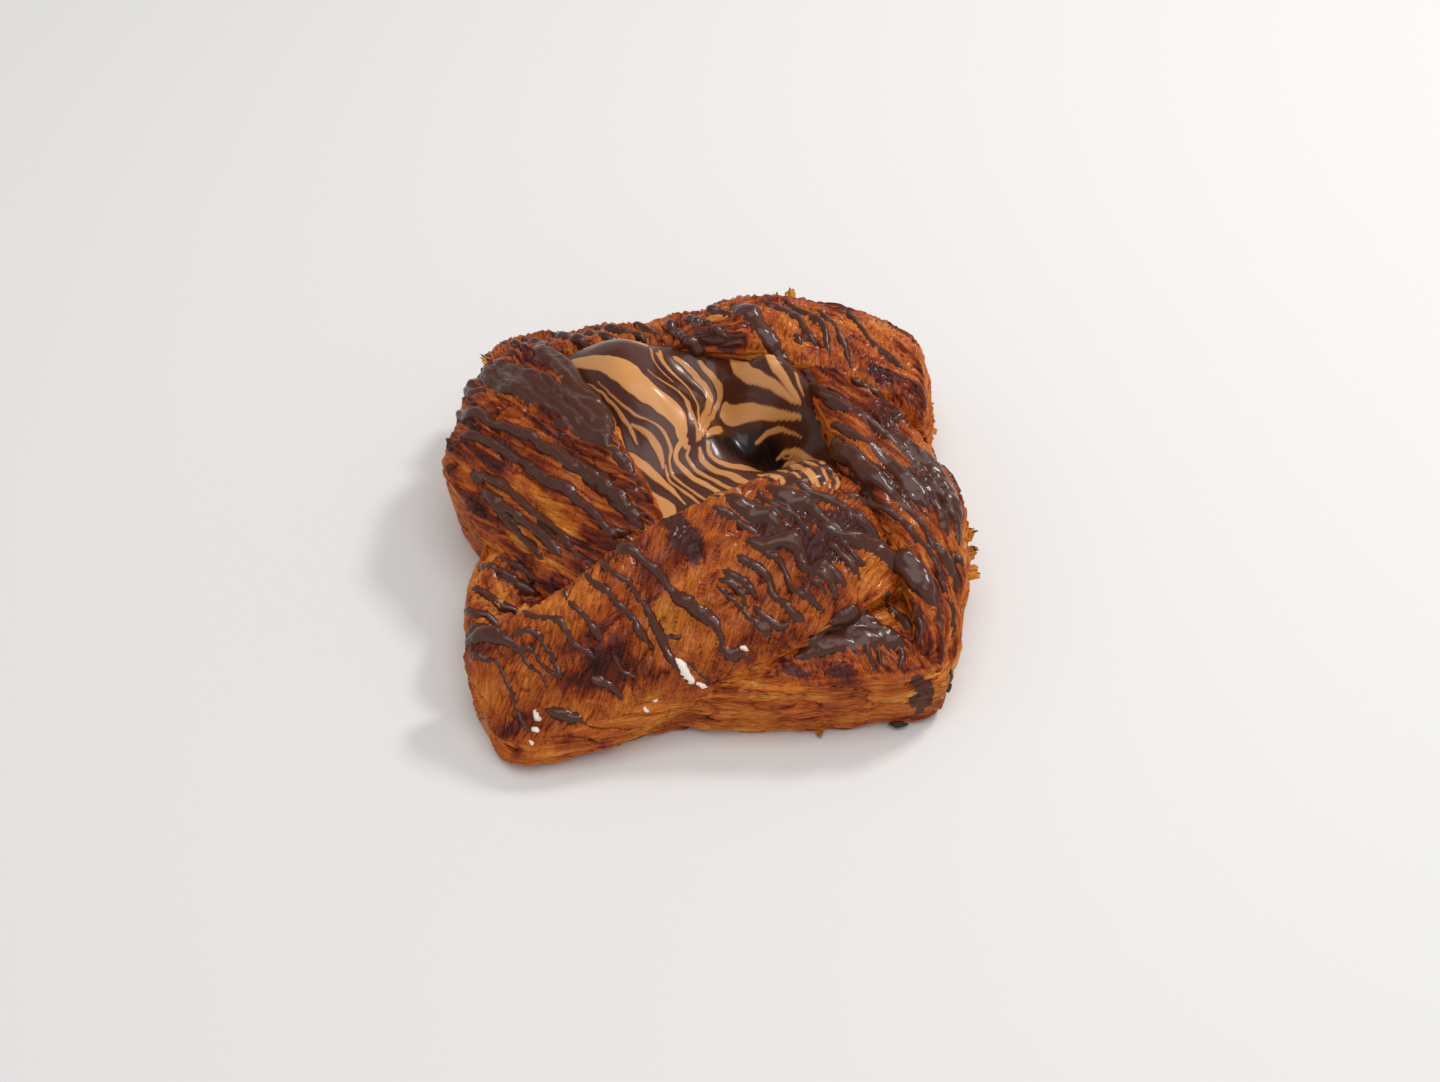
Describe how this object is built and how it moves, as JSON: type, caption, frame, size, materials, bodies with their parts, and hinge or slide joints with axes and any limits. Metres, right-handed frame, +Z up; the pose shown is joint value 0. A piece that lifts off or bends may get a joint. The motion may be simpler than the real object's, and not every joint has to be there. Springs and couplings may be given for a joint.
{
  "type": "danish pastry",
  "caption": "Square danish pastry with folded pinwheel corners, marbled caramel filling and drizzled chocolate.",
  "frame": {"origin": "centre of the pastry's box, on the plane that it rests on", "axes": "+Z up, +X to the right and -Y to the front as the pastry is looked at, with its lowest corner at the front left"},
  "size_m": [0.1146, 0.1178, 0.0358],
  "materials": {
    "baked_dough": "glazed and browned, semi-gloss",
    "caramel_filling": "smooth glossy caramel marbled with chocolate",
    "chocolate": "set dark chocolate, glossy"
  },
  "bodies": {
    "root": {"pastry": "baked_dough", "filling": "caramel_filling"}
  },
  "joints": []
}
